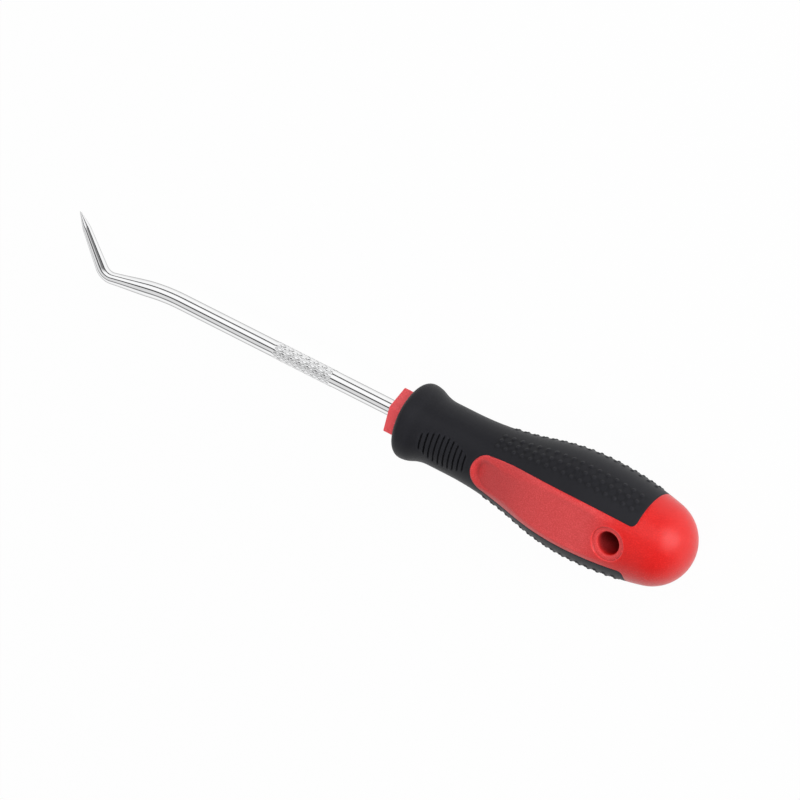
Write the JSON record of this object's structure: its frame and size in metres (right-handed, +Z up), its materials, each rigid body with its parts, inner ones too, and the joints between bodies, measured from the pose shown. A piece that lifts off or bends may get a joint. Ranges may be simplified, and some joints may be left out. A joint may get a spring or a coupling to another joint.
{
  "type": "o-ring pick",
  "caption": "Hand pick with a bent, tapered steel point, a knurled shank, a hard plastic handle with a hanging hole and a soft overmoulded grip, for lifting out seals.",
  "frame": {"origin": "on the ground under the middle of the tool's length and width, as it lies at rest on its lower panel and the flare of its grip", "axes": "+X from the butt towards the point, along the tool; +Z up, nearly along the hanging hole; the bent point leans towards -Y"},
  "size_m": [0.2248, 0.032, 0.0292],
  "materials": {
    "pick_steel": "bright chrome plated steel with a knurled band",
    "core_plastic": "red injection moulding with a fine spark-eroded texture",
    "grip_rubber": "matt black soft overmould"
  },
  "bodies": {
    "root": {"pick_shaft": "pick_steel", "handle_core": "core_plastic", "grip_sleeve": "grip_rubber"}
  },
  "joints": []
}
